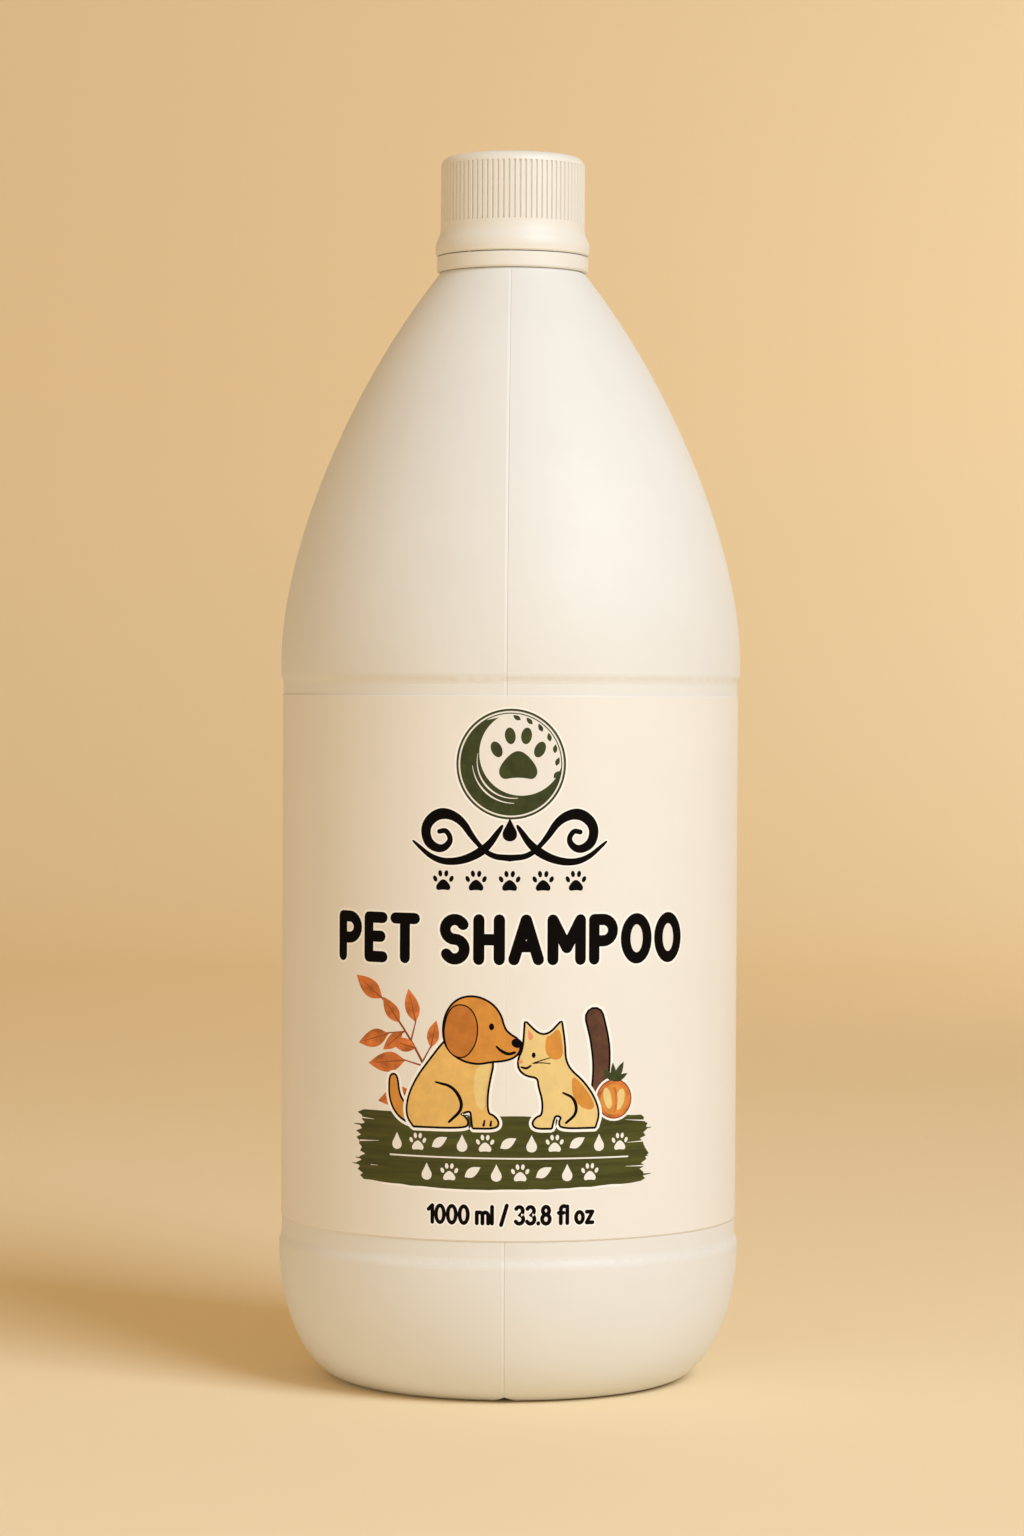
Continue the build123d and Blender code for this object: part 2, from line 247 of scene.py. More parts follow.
def rounded(points, closed=True, passes=3):
    """The outline with its corners cut smooth. A point given twice in a row stays sharp."""
    for _ in range(passes):
        ahead = points[1:] + points[:1] if closed else points[1:]
        cut = []
        for (ax, ay), (bx, by) in zip(points, ahead):
            cut.append((0.75 * ax + 0.25 * bx, 0.75 * ay + 0.25 * by))
            cut.append((0.25 * ax + 0.75 * bx, 0.25 * ay + 0.75 * by))
        points = cut if closed else [points[0]] + cut + [points[-1]]
    clean = []
    for p in points:
        if not clean or hypot(p[0] - clean[-1][0], p[1] - clean[-1][1]) > CLOSEST:
            clean.append(p)
    return clean


def sideways(points, closed):
    """The unit vector to the left of the path at each point."""
    count = len(points)
    out = []
    for k in range(count):
        before = points[k - 1] if closed or k > 0 else points[0]
        after = points[(k + 1) % count] if closed or k < count - 1 else points[-1]
        dx, dy = after[0] - before[0], after[1] - before[1]
        length = hypot(dx, dy) or 1.0
        out.append((-dy / length, dx / length))
    return out


def area(points):
    """The area inside a closed outline, below zero if it runs clockwise."""
    pairs = zip(points, points[1:] + points[:1])
    return 0.5 * sum(ax * by - bx * ay for (ax, ay), (bx, by) in pairs)


def grown(points, by):
    """A closed outline moved outwards."""
    out = -by if area(points) > 0 else by
    normals = sideways(points, True)
    return [(x + out * nx, y + out * ny) for (x, y), (nx, ny) in zip(points, normals)]


def brush(points, *widths):
    """The outline of a stroke with round ends whose width runs evenly through widths."""
    normals = sideways(points, False)
    last = len(points) - 1
    halves = []
    for k in range(last + 1):
        along = (len(widths) - 1) * k / last
        low = min(int(along), len(widths) - 1)
        high = min(low + 1, len(widths) - 1)
        halves.append(0.5 * (widths[low] + (along - low) * (widths[high] - widths[low])))
    left = [(x + h * nx, y + h * ny) for (x, y), (nx, ny), h in zip(points, normals, halves)]
    right = [(x - h * nx, y - h * ny) for (x, y), (nx, ny), h in zip(points, normals, halves)]
    caps = []
    for k, side in ((last, 0), (0, 180)):
        turn = radians(side) + atan2(normals[k][1], normals[k][0])
        steps = [turn - pi * j / 6 for j in range(1, 6)]
        x, y = points[k]
        caps.append([(x + halves[k] * cos(a), y + halves[k] * sin(a)) for a in steps])
    return left + caps[0] + right[::-1] + caps[1]


# ---- The label's art ----------------------------------------------------------------------

ART_SHIFT = 0.62        # the print is this far to the right of the parting line
LINE_WEIGHT = 1.6       # the drawings' inner lines are this many times their stated widths
art = []                # (ink, outline), each on top of those before it


def paint(colour, outline):
    """Adds a shape on top of those painted before it."""
    shifted = placed(outline, ART_SHIFT, 0)
    art.append((colour, shifted if area(shifted) > 0 else shifted[::-1]))


def paint_figure(colour, outline, keyline=0.5, line=0.40):
    """A filled shape with a dark outline and a pale keyline round it."""
    paint("keyline", grown(outline, line + keyline))
    paint("black", grown(outline, line))
    paint(colour, outline)


def paw_shapes(cx, cy, size):
    """A paw print size millimetres high: one pad and four toes."""
    pad = [(-0.20, -0.02), (0.0, 0.10), (0.20, -0.02), (0.38, -0.28), (0.30, -0.46),
           (0.10, -0.42), (-0.10, -0.42), (-0.30, -0.46), (-0.38, -0.28)]
    toes = [(-0.40, 0.10, 25), (-0.15, 0.35, 8), (0.15, 0.35, -8), (0.40, 0.10, -25)]
    shapes = [placed(rounded(pad), cx, cy, size)]
    for x, y, tilt in toes:
        shapes.append(ellipse(cx + size * x, cy + size * y, 0.10 * size, 0.155 * size, tilt, 18))
    return shapes


def leaf_shape(x, y, length, angle, slim=0.2):
    """A pointed leaf that grows from (x, y) in the direction angle, in degrees."""
    side = [(0, 0), (0, 0), (0.3, slim), (0.65, slim * 0.95), (1, 0), (1, 0),
            (0.65, -slim * 0.8), (0.3, -slim)]
    c, s = cos(radians(angle)), sin(radians(angle))
    return [(x + length * (u * c - v * s), y + length * (u * s + v * c)) for u, v in rounded(side)]


def drop_shape(cx, cy, size):
    """A falling drop size millimetres high."""
    body = [(0, 0.5), (0, 0.5), (0.16, 0.16), (0.34, -0.14), (0.28, -0.44), (0, -0.56),
            (-0.28, -0.44), (-0.34, -0.14), (-0.16, 0.16)]
    return placed(rounded(body), cx, cy, size)


def straight(*points):
    """A stroke through the points, with one more point in the middle of each run."""
    out = [points[0]]
    for (ax, ay), (bx, by) in zip(points, points[1:]):
        out += [((ax + bx) / 2, (ay + by) / 2), (bx, by)]
    return out


# Plain letters of even weight, one unit high: (width, open strokes, rings)
GLYPHS = {
    "P": (0.52, [straight((0, 0), (0, 1)),
                 [(0, 1)] + arc(0.25, 0.73, 0.27, 0.27, 90, -180, 12) + [(0, 0.46)]], []),
    "E": (0.44, [straight((0, 0), (0, 1)), straight((0, 1), (0.44, 1)),
                 straight((0, 0.52), (0.38, 0.52)), straight((0, 0), (0.44, 0))], []),
    "T": (0.56, [straight((0, 1), (0.56, 1)), straight((0.28, 0), (0.28, 1))], []),
    "S": (0.50, [arc(0.25, 0.75, 0.25, 0.25, 30, 240, 14)
                 + arc(0.25, 0.25, 0.25, 0.25, 90, -240, 14)[1:]], []),
    "H": (0.52, [straight((0, 0), (0, 1)), straight((0.52, 0), (0.52, 1)),
                 straight((0, 0.5), (0.52, 0.5))], []),
    "A": (0.62, [straight((0, 0), (0.31, 1)), straight((0.31, 1), (0.62, 0)),
                 straight((0.11, 0.33), (0.51, 0.33))], []),
    "M": (0.72, [straight((0, 0), (0, 1)), straight((0, 1), (0.36, 0.3)),
                 straight((0.36, 0.3), (0.72, 1)), straight((0.72, 1), (0.72, 0))], []),
    "O": (0.66, [], [(0.33, 0.5, 0.33, 0.5)]),
    "0": (0.50, [], [(0.25, 0.5, 0.25, 0.5)]),
    "1": (0.24, [straight((0, 0.76), (0.24, 1)), straight((0.24, 1), (0.24, 0))], []),
    "m": (0.68, [straight((0, 0), (0, 0.66)),
                 arc(0.17, 0.47, 0.17, 0.19, 180, -180, 10) + straight((0.34, 0.4), (0.34, 0)),
                 arc(0.51, 0.47, 0.17, 0.19, 180, -180, 10) + straight((0.68, 0.4), (0.68, 0))], []),
    "l": (0.0, [straight((0, 0), (0, 1))], []),
    "f": (0.30, [arc(0.32, 0.82, 0.19, 0.2, 70, 110, 8) + [(0.13, 0.4), (0.13, 0)],
                 straight((0, 0.62), (0.30, 0.62))], []),
    "o": (0.44, [], [(0.22, 0.32, 0.22, 0.32)]),
    "z": (0.38, [straight((0, 0.64), (0.38, 0.64)), straight((0.38, 0.64), (0, 0)),
                 straight((0, 0), (0.38, 0))], []),
    "3": (0.44, [arc(0.20, 0.76, 0.21, 0.24, 150, -240, 12)
                 + arc(0.20, 0.26, 0.24, 0.26, 90, -240, 12)[1:]], []),
    "8": (0.46, [], [(0.23, 0.77, 0.19, 0.23), (0.23, 0.26, 0.23, 0.27)]),
    ".": (0.0, [straight((0, 0), (0, 0.03))], []),
    "/": (0.34, [straight((0, -0.08), (0.34, 1.08))], []),
    " ": (0.08, [], []),
}


def paint_text(text, cx, y0, height, weight, colour, keyline, gap):
    """Plain text centred on cx, standing on y0.

    weight is the strokes' width, keyline the pale margin round them, and gap the space between
    letters as a share of height.
    """
    text_width = sum(GLYPHS[c][0] for c in text) + gap * (len(text) - 1)
    for ink_name, width in (("keyline", weight + 2 * keyline), (colour, weight)):
        x = cx - height * text_width / 2
        for letter in text:
            glyph_width, strokes, rings = GLYPHS[letter]
            for stroke in strokes:
                paint(ink_name, brush(placed(stroke, x, y0, height), width))
            for rx0, ry0, rx, ry in rings:
                ring_x, ring_y = x + height * rx0, y0 + height * ry0
                outer = (height * rx + width / 2, height * ry + width / 2)
                inner = (height * rx - width / 2, height * ry - width / 2)
                paint(ink_name, ellipse(ring_x, ring_y, *outer, count=40))
                if ink_name == colour:
                    paint("film", ellipse(ring_x, ring_y, *inner, count=36))
            x += height * (glyph_width + gap)


def paint_emblem(cx, cy, radius):
    """A paw print in a double ring, with a crescent on one side and small leaves on the other."""
    paint("keyline", ellipse(cx, cy, radius + 0.35, radius + 0.35, count=72))
    for colour, r in (("green", radius), ("film", radius - 0.42), ("green", radius - 0.72),
                      ("film", radius - 0.92)):
        paint(colour, ellipse(cx, cy, r, r, count=72))
    inner = radius - 0.8
    outside = arc(cx, cy, inner, inner, 122, 226, 48)
    hollow = arc(cx + 1.9, cy + 2.0, inner - 1.6, inner - 1.6, 348, -226, 48)
    paint("green", outside + hollow)
    for depth, start, sweep in ((2.6, 168, 108), (1.7, 186, 84)):
        paint("film", brush(arc(cx + 0.5, cy + 0.5, inner - depth, inner - depth, start, sweep, 24),
                            0.08, 0.34, 0.12))
    for shape in paw_shapes(cx + 1.3, cy + 1.7, 10.0):
        paint("green", shape)
    for turn in range(-34, 82, 16):
        c, s = cos(radians(turn)), sin(radians(turn))
        paint("green", leaf_shape(cx + 8.3 * c, cy + 8.3 * s, 1.7, turn + 70, 0.26))


def paint_flourish(cy):
    """A pen flourish: two mirrored curls with a drop between them."""
    drawn_at = 105.6            # the height at which the two lines below are drawn
    curl = [(0.0, 101.9), (3.6, 102.2), (6.6, 105.2), (9.2, 109.2), (13.0, 110.4), (16.0, 108.0),
            (15.6, 104.6), (12.8, 103.2), (10.8, 105.0), (11.8, 107.0), (13.2, 106.7)]
    tail = [(1.4, 107.8), (4.4, 103.4), (9.2, 101.1), (14.0, 101.3), (18.4, 104.9)]
    lines = ((curl, (1.3, 0.9, 2.1, 1.8, 1.0, 0.9)), (tail, (0.5, 1.7, 1.2, 0.35)))
    for colour, margin in (("keyline", 0.6), ("black", 0.0)):
        for side in (-1, 1):
            for line, widths in lines:
                path = rounded([(side * x, y + cy - drawn_at) for x, y in line], False)
                paint(colour, brush(path, *[w + margin for w in widths]))
    paint("black", drop_shape(0, cy + 1.6, 4.2))


def paint_sprig():
    """A stem with orange leaves, growing up to the left from behind the dog."""
    stem = [(-12.6, 54.5), (-14.2, 60.0), (-17.4, 66.4), (-21.6, 72.4), (-25.4, 76.4)]
    twigs = [((-16.2, 63.6), (-20.2, 64.6)), ((-14.8, 61.0), (-18.8, 58.6)),
             ((-19.8, 69.8), (-23.8, 69.4)), ((-18.6, 68.4), (-17.6, 72.2)),
             ((-16.4, 64.2), (-14.6, 67.4)), ((-13.6, 57.8), (-17.4, 55.8))]
    leaves = [(-24.8, 75.8, 7.4, 146), (-23.4, 69.3, 7.2, 196), (-19.8, 64.5, 8.2, 186),
              (-18.4, 58.8, 7.6, 196), (-17.7, 71.6, 6.4, 104), (-14.7, 67.0, 5.2, 78),
              (-21.0, 71.4, 6.0, 128), (-17.6, 66.8, 5.6, 166), (-17.0, 56.0, 6.6, 200),
              (-20.4, 69.6, 5.4, 218)]
    paint("rust", brush(rounded(stem, False), 0.6, 0.45, 0.3))
    for start, end in twigs:
        paint("rust", brush(straight(start, end), 0.34, 0.24))
    for x, y, length, angle in leaves:
        paint("orange", leaf_shape(x, y, length, angle, 0.24))
        c, s = cos(radians(angle)), sin(radians(angle))
        vein = straight((x, y), (x + 0.8 * length * c, y + 0.8 * length * s))
        paint("rust", brush(vein, 0.26, 0.1))


def paint_line(points, cx, cy, *widths):
    """A smooth dark line through points that are placed at (cx, cy)."""
    weights = [LINE_WEIGHT * w for w in widths]
    paint("black", brush(rounded(placed(points, cx, cy), False), *weights))


def paint_dog(cx, cy):
    """A plain sitting dog seen from the side, facing right."""
    tail = [(-8.0, 1.6), (-10.6, 2.4), (-12.4, 5.0), (-12.6, 8.6)]
    body = [(7.4, 0), (7.8, 1.0), (6.9, 2.1), (5.7, 2.5), (5.6, 6.0), (6.2, 9.4), (6.8, 12.0),
            (5.4, 16.0), (0.6, 18.0), (-2.4, 15.6), (-4.9, 12.4), (-7.7, 8.8), (-9.5, 5.0),
            (-9.7, 1.8), (-8.3, 0), (-8.3, 0), (1.6, 0), (2.2, 0.9), (1.4, 2.0), (0.4, 2.4),
            (2.8, 3.4), (3.0, 1.4), (3.2, 0), (3.2, 0)]
    head = [(6.4, 12.3), (9.0, 12.5), (10.9, 13.2), (11.8, 14.6), (11.4, 16.2), (9.8, 17.1),
            (8.7, 18.3), (8.1, 20.8), (6.3, 23.0), (3.2, 24.2), (0.0, 23.5), (-2.0, 21.0),
            (-2.6, 17.6), (-1.8, 14.4), (1.0, 12.4), (4.0, 11.8)]
    chest = [(5.9, 9.2), (6.5, 11.8), (5.2, 12.2), (3.4, 10.6), (3.2, 7.0), (3.8, 3.8), (5.2, 2.8),
             (5.3, 6.0)]
    ear = [(-0.2, 22.6), (2.4, 22.2), (3.9, 19.4), (3.6, 15.4), (1.4, 12.6), (-1.4, 13.6),
           (-2.5, 17.0), (-1.8, 20.8)]
    paint_figure("gold", brush(rounded(placed(tail, cx, cy), False), 2.6, 2.2, 1.2))
    paint_figure("sand", rounded(placed(body, cx, cy)))
    paint("cream", rounded(placed(chest, cx, cy)))
    paint_line([(-1.4, 0.9), (1.5, 3.6), (-0.4, 7.4), (-4.0, 8.2)], cx, cy, 0.28, 0.42, 0.2)
    paint_line([(5.1, 0.4), (5.3, 1.3)], cx, cy, 0.3, 0.2)
    paint_line([(6.4, 0.4), (6.5, 1.2)], cx, cy, 0.3, 0.2)
    paint_figure("gold", rounded(placed(head, cx, cy)), 0.0)
    flap = rounded(placed(ear, cx, cy))
    paint("black", grown(flap, 0.25))
    paint("amber", flap)
    paint("black", ellipse(cx + 11.2, cy + 15.6, 1.05, 0.85, -20))
    paint("black", ellipse(cx + 6.5, cy + 18.6, 0.48, 0.62))
    paint_line([(10.8, 13.9), (9.6, 13.5), (8.2, 14.2), (7.4, 15.0)], cx, cy, 0.3, 0.38, 0.2)


def paint_cat_tail(cx, cy):
    """The cat's dark upright tail, which passes behind the fruit."""
    tail = [(4.4, 2.6), (6.6, 6.0), (7.2, 11.0), (6.9, 15.6), (5.7, 20.2)]
    paint_figure("brown", brush(rounded(placed(tail, cx, cy), False), 2.4, 2.6, 3.2, 3.2))


def paint_cat(cx, cy):
    """A plain sitting cat seen from the side, facing left."""
    body = [(-5.4, 0), (-6.0, 0.8), (-5.3, 1.8), (-4.1, 2.2), (-4.0, 5.0), (-4.8, 7.6), (-5.0, 9.4),
            (-7.2, 9.7), (-8.6, 10.9), (-8.6, 12.8), (-7.7, 14.5), (-7.4, 19.4), (-7.4, 19.4),
            (-5.1, 17.1), (-3.0, 17.1), (-0.8, 19.4), (-0.8, 19.4), (-0.2, 15.4), (-0.1, 12.4),
            (1.0, 10.4), (3.4, 8.4), (5.6, 5.4), (6.6, 2.4), (5.8, 0), (5.8, 0), (-0.6, 0),
            (-1.0, 0.9), (-0.4, 2.0), (-1.9, 2.5), (-2.4, 1.0), (-2.6, 0), (-2.6, 0)]
    patch = [(-3.6, 16.9), (-2.9, 16.9), (-1.1, 18.6), (-0.5, 15.4), (-0.4, 12.8), (-2.4, 12.4),
             (-3.9, 14.0)]
    inner_ear = [(-7.0, 18.2), (-7.0, 18.2), (-5.7, 16.7), (-6.9, 15.9)]
    saddle = [(1.2, 9.8), (3.3, 8.0), (5.3, 5.2), (5.9, 3.2), (3.6, 3.2), (1.4, 5.4)]
    paint_figure("cream", rounded(placed(body, cx, cy)))
    paint("gold", rounded(placed(patch, cx, cy)))
    paint("blush", rounded(placed(inner_ear, cx, cy)))
    paint("gold", rounded(placed(saddle, cx, cy)))
    paint_line([(0.2, 0.8), (2.4, 2.6), (1.8, 5.4), (-0.4, 6.4)], cx, cy, 0.26, 0.4, 0.2)
    paint("blush", ellipse(cx - 8.3, cy + 12.2, 0.42, 0.34))
    paint("black", ellipse(cx - 5.9, cy + 13.4, 0.36, 0.52))
    paint_line([(-8.2, 11.2), (-7.2, 10.9), (-6.4, 11.5)], cx, cy, 0.2, 0.3, 0.18)
    for rise in (0.9, -0.2):
        paint_line([(-6.0, 11.9), (-4.4, 12.1 + 0.4 * rise), (-2.8, 12.0 + rise)], cx, cy, 0.16, 0.1)


def paint_fruit(cx, cy, radius):
    """A round fruit with two pale flecks and three leaves."""
    paint("keyline", ellipse(cx, cy, radius + 0.4, radius + 0.4))
    paint("rust", ellipse(cx, cy, radius, radius))
    paint("orange", ellipse(cx, cy, radius - 0.25, radius - 0.25))
    paint("gold", ellipse(cx - 0.1, cy - 0.1, radius - 0.9, radius - 0.9))
    paint("cream", ellipse(cx - 1.4, cy + 0.2, 0.8, 2.0, 12))
    paint("cream", ellipse(cx + 1.2, cy - 0.1, 0.9, 2.0, -14))
    paint("orange", brush(arc(cx - 0.1, cy - 0.2, 0.5, 2.3, 110, -220, 8), 0.3, 0.6, 0.3))
    for angle, length in ((28, 3.2), (62, 4.2), (96, 3.6), (134, 3.8)):
        paint("green", leaf_shape(cx, cy + radius - 0.5, length, angle, 0.17))


def paint_banner(x0, x1, y0, y1):
    """A broad olive brush stroke with ragged ends and two rows of small marks."""
    seed, steps, bristle_count = 5, 26, 22
    dice = random.Random(seed)
    top = [(x0 + (x1 - x0) * k / steps, y1 - 0.5 * k / steps + dice.uniform(-0.10, 0.10))
           for k in range(steps + 1)]
    low = [(x1 - (x1 - x0) * k / steps,
            y0 + 0.4 - 0.9 * sin(pi * k / steps) + dice.uniform(-0.1, 0.1))
           for k in range(steps + 1)]

    def bristles(x, ya, yb, way):
        """The ragged end at x, from height ya to yb. way is 1 to the right and -1 to the left."""
        points = []
        tufts = [0.2, 0.6, 1.2, 0.8, 0.1, 0.5, 1.5, 1.0, 0.4, 0.0, 0.7]
        for k in range(1, bristle_count):
            y = ya + (yb - ya) * k / bristle_count
            tip = dice.uniform(0.2, 0.9) if k % 2 else dice.uniform(-0.5, 0.1)
            reach = tufts[(k // 2) % len(tufts)] + tip
            points.append((x + way * reach, y + dice.uniform(-0.08, 0.08)))
        return points

    right = bristles(x1, y1 - 0.5, y0 + 0.4, 1)
    left = bristles(x0, y0 + 0.4, y1, -1)
    paint("keyline", placed(low[2:-2], 0, -0.42) + placed(low[2:-2][::-1], 0, 0.3))
    paint("olive", top + right + low + left)
    for y in (53.4, 49.2, 44.8):
        for x, way in ((x0, -1), (x1, 1)):
            gap = straight((x + way * 0.9, y + dice.uniform(-0.5, 0.5)),
                           (x - way * dice.uniform(1.6, 4.0), y + dice.uniform(-0.2, 0.2)))
            paint("film", brush(gap, 0.28, 0.05))
    for x, y, way in ((x0, 45.6, -1), (x0, 44.5, -1), (x0, 51.9, -1), (x1, 51.6, 1), (x1, 46.4, 1),
                      (x1, 43.0, 1)):
        hair = straight((x - way * 1.5, y), (x + way * dice.uniform(1.6, 2.8), y + 0.25))
        paint("olive", brush(hair, 0.6, 0.4, 0.12))
    for row_y, count, pitch in ((49.5, 11, 4.3), (44.1, 8, 4.4)):
        for k in range(count):
            x = pitch * (k - (count - 1) / 2)
            if k % 3 == 0:
                shapes = [drop_shape(x, row_y + 0.1, 3.1)]
            elif k % 3 == 1:
                shapes = paw_shapes(x, row_y, 3.3)
            else:
                shapes = [leaf_shape(x - 1.5, row_y - 0.8, 3.5, 32, 0.26)]
            for shape in shapes:
                paint("white", shape)
    paint("white", brush(straight((-22.9, 46.9), (23.2, 46.7)), 0.3))


def paint_label():
    """All of the label's front, from top to bottom."""
    paint_emblem(0.2, 119.5, 10.2)
    paint_flourish(105.9)
    for k in range(5):
        for shape in paw_shapes(6.2 * (k - 2), 97.9, 3.9):
            paint("black", shape)
    paint_text("PET SHAMPOO", 0.2, 83.5, 7.3, 2.1, "black", 0.4, 0.37)
    paint_sprig()
    paint_banner(-29.0, 26.2, 41.5, 54.9)
    paint_cat_tail(10.5, 52.5)
    paint_fruit(20.3, 57.5, 3.7)
    paint_cat(10.5, 52.5)
    paint_dog(-9.7, 52.5)
    paint_text("1000 ml / 33.8 fl oz", 0.5, 34.8, 3.1, 0.74, "black", 0.28, 0.23)


# ---- The label's mesh ---------------------------------------------------------------------

OVERLAP = 7             # degrees by which the film's ends overlap
RAMP = 1.0              # millimetres over which the upper end climbs onto the lower one
RIM = 0.22              # height of the sloping strip along the upper and lower edges
RIM_LEAN = 0.55         # how far the strip's normals lean up or down, for a soft edge
DIP = 0.022             # depth of the film's dip over the parting line
DIP_GENTLE = 0.32       # width of the dip's left side
DIP_STEEP = 0.12        # width of its right side


def dip_over_parting_line(x):
    """How far the film sinks where the parting line runs under it, at x along the arc."""
    width = DIP_GENTLE if x < 0 else DIP_STEEP
    return DIP * exp(-((x / width) ** 2))


def make_label():
    """The printed film: one closed sheet with its ends overlapped at the back.

    The front is cut into triangles along the outlines of the art, so each ink is its own faces.
    The upper and lower edges are rounded off by a narrow sloping strip.
    """
    low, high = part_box("wrap_label")
    outer = high.x / MM                 # the front's radius
    thick = high.y / MM - outer         # the overlap stands one thickness proud of it
    lap = 0.5 * radians(OVERLAP) * outer
    end = pi * outer + lap
    z0, z1 = low.z / MM, high.z / MM
    rim_depth, back_depth = 0.75 * thick, 0.9 * thick
    columns = 360
    over_dip = {-0.6, -0.4, -0.25, -0.12, 0.0, 0.06, 0.14, 0.3}
    lines = sorted({round(-end + 2 * end * k / columns, 2) for k in range(columns + 1)} | over_dip)
    levels = (z0, round(z0 + RIM, 2), round(z1 - RIM, 2), z1)
    points, edges, faces = [], [], []
    for x in lines:
        edges += [(len(points) + k, len(points) + k + 1) for k in range(3)]
        points += [Vector((x, z)) for z in levels]
    last = 4 * len(lines) - 4
    edges += [(k, last + k) for k in range(4)]
    for _, outline in art:
        faces.append(list(range(len(points), len(points) + len(outline))))
        points += [Vector(p) for p in outline]
    flat, _, triangles, _, _, origins = delaunay_2d_cdt(points, edges, faces, 0, 1e-5)

    def radius(x):
        """The film's outer radius at x: it climbs where it passes over its other end."""
        on_top = min(1.0, max(0.0, (x - (end - 2 * lap - RAMP)) / RAMP))
        return outer + thick * on_top * on_top * (3 - 2 * on_top) - dip_over_parting_line(x)

    def wrapped(x, z, inset=0.0):
        """The point (x, z) of the flat film on the bottle, inset below its surface, in metres."""
        turn = x / outer - pi / 2
        r = (radius(x) - inset) * MM
        return (r * cos(turn), r * sin(turn), z * MM)

    def normal(x, lean=0.0):
        """Square to the film at x, leaning up by lean for each unit outwards."""
        turn = x / outer - pi / 2
        slope = (radius(x + 0.01) - radius(x - 0.01)) / 0.02
        out = (cos(turn) + slope * sin(turn), sin(turn) - slope * cos(turn), lean)
        return Vector(out).normalized()

    vertices = [wrapped(p.x, p.y, rim_depth if p.y in (z0, z1) else 0.0) for p in flat]
    count = len(vertices)
    vertices += [wrapped(x, z, back_depth) for x in lines for z in (z0, z1)]
    outside = {(round(p.x, 2), round(p.y, 2)): k for k, p in enumerate(flat)}
    top = [outside[x, round(z1, 2)] for x in lines]
    bottom = [outside[x, round(z0, 2)] for x in lines]
    closing = []                        # the film's back, edges and ends
    for k in range(len(lines) - 1):
        a, b = count + 2 * k, count + 2 * k + 2
        closing.append((b, a, a + 1, b + 1))
        closing.append((bottom[k], a, b, bottom[k + 1]))
        closing.append((a + 1, top[k], top[k + 1], b + 1))
    for k, way in ((0, 1), (len(lines) - 1, -1)):
        a = count + 2 * k
        side = [outside[lines[k], round(z, 2)] for z in levels]
        closing.append((*side, a + 1, a)[::way])
    mesh = bpy.data.meshes.new("printed_label")
    mesh.from_pydata(vertices, [], [tuple(t) for t in triangles] + closing)
    names = list(INKS)
    for name in names:
        mesh.materials.append(INKS[name])
    for polygon, found in zip(mesh.polygons, origins):
        covering = [i for i in found if i < len(art)]
        polygon.material_index = names.index(art[max(covering)][0]) if covering else 0
    mesh.update()
    corner_normals = []
    for k, polygon in enumerate(mesh.polygons):
        if k >= len(triangles):
            polygon.use_smooth = False
            corner_normals += [polygon.normal] * len(polygon.vertices)
            continue
        polygon.use_smooth = True
        heights = [flat[v].y for v in polygon.vertices]
        lean = 0
        if min(heights) > levels[2] - 0.01:
            lean = RIM_LEAN
        elif max(heights) < levels[1] + 0.01:
            lean = -RIM_LEAN
        corner_normals += [normal(flat[v].x, lean) for v in polygon.vertices]
    mesh.normals_split_custom_set(corner_normals)
    label = bpy.data.objects.new("printed_label", mesh)
    bpy.context.scene.collection.objects.link(label)
    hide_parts("wrap_label")
    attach(label, "bottle")


# ---- CAD nodes ----------------------------------------------------------------------------

def finish_nodes():
    """Gives the bottle, cap, band, webs and liner their plastics."""
    hdpe = moulded_plastic("bottle_hdpe", (0.77, 0.76, 0.73), 0.55, 0.0004, 0.000006, 0.00007)
    cap = moulded_plastic("cap_pp", (0.80, 0.77, 0.71), 0.46, 0.0003, 0.000003, 0.00002)
    wad = foam("liner_foam", (0.88, 0.88, 0.85))
    plastics = {"bottle": hdpe, "screw_cap": cap, "tamper_band": cap, "band_webs": cap,
                "cap_liner": wad}
    for name, material in plastics.items():
        for place in NODES[name].material_slots:
            place.material = material


# ---- Floor and light ----------------------------------------------------------------------

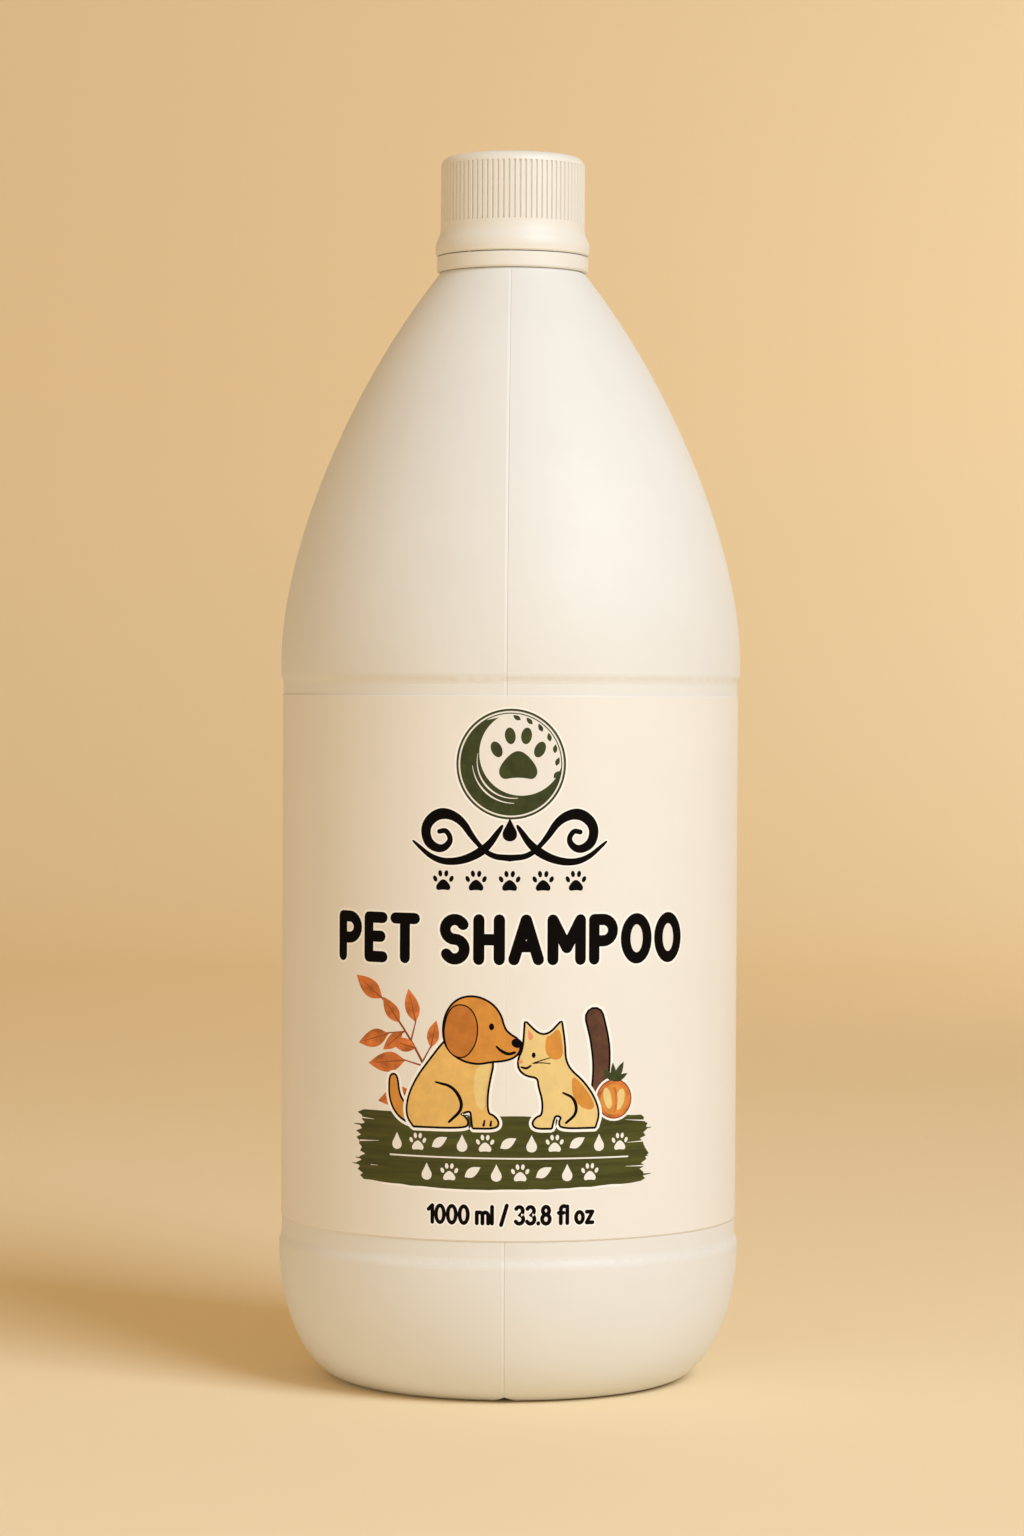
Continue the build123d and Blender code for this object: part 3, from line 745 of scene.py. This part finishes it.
def make_floor():
    """A plain pale floor that curves up into a plain backdrop, well behind the bottle."""
    half, front, wall_y, wall_z = 4.0, -4.0, 1.5, 3.0
    cove, steps = 0.3, 12
    line = [(front, 0.0)]
    for k in range(steps + 1):
        turn = radians(90 * k / steps)
        line.append((wall_y - cove + cove * sin(turn), cove - cove * cos(turn)))
    line.append((wall_y, wall_z))
    corners = [(x, y, z) for y, z in line for x in (-half, half)]
    faces = [(2 * k, 2 * k + 1, 2 * k + 3, 2 * k + 2) for k in range(len(line) - 1)]
    mesh = bpy.data.meshes.new("floor")
    mesh.from_pydata(corners, [], faces)
    for polygon in mesh.polygons:
        polygon.use_smooth = True
    material, _, shader = new_material("floor", 0.85, (0.95, 0.79, 0.53))
    shader.inputs["Specular IOR Level"].default_value = 0.2
    mesh.materials.append(material)
    floor = bpy.data.objects.new("floor", mesh)
    bpy.context.scene.collection.objects.link(floor)


def make_light(name, place, target, size, power, colour, spread=180):
    """A square soft box at place that faces target and shines through spread degrees."""
    data = bpy.data.lights.new(name, "AREA")
    data.size = size
    data.spread = radians(spread)
    data.energy = power
    data.color = colour
    lamp = bpy.data.objects.new(name, data)
    lamp.location = place
    lamp.rotation_euler = (Vector(target) - Vector(place)).to_track_quat("-Z", "Y").to_euler()
    bpy.context.scene.collection.objects.link(lamp)


def make_lights():
    """A soft key from the front right, a fill and a bounce from the front left, a wash on the
    backdrop, and a warm surround."""
    make_light("key", (0.950, -1.018, 1.095), (0, 0, 0.12), 0.9, 24.2, (0.74, 0.86, 1.0))
    make_light("fill", (-1.58, -0.60, 0.44), (0, 0, 0.10), 0.84, 0.66, (0.82, 0.85, 0.95), 90)
    make_light("bounce", (-0.45, -0.9, 0.17), (0, 0, 0.0), 0.32, 0.25, (1.0, 0.95, 0.85), 90)
    make_light("wash", (0.62, 1.0, 0.42), (0.40, 1.5, 0.25), 0.35, 0.9, (0.9, 0.94, 1.0))
    world = bpy.data.worlds.new("world")
    world.use_nodes = True
    background = next(n for n in world.node_tree.nodes if n.type == "BACKGROUND")
    background.inputs["Color"].default_value = (1.0, 0.70, 0.34, 1)
    background.inputs["Strength"].default_value = 0.45
    bpy.context.scene.world = world
    bpy.context.scene.view_settings.view_transform = "Standard"


# ---- Scene --------------------------------------------------------------------------------

make_camera()
finish_nodes()
paint_label()
make_label()
make_floor()
make_lights()
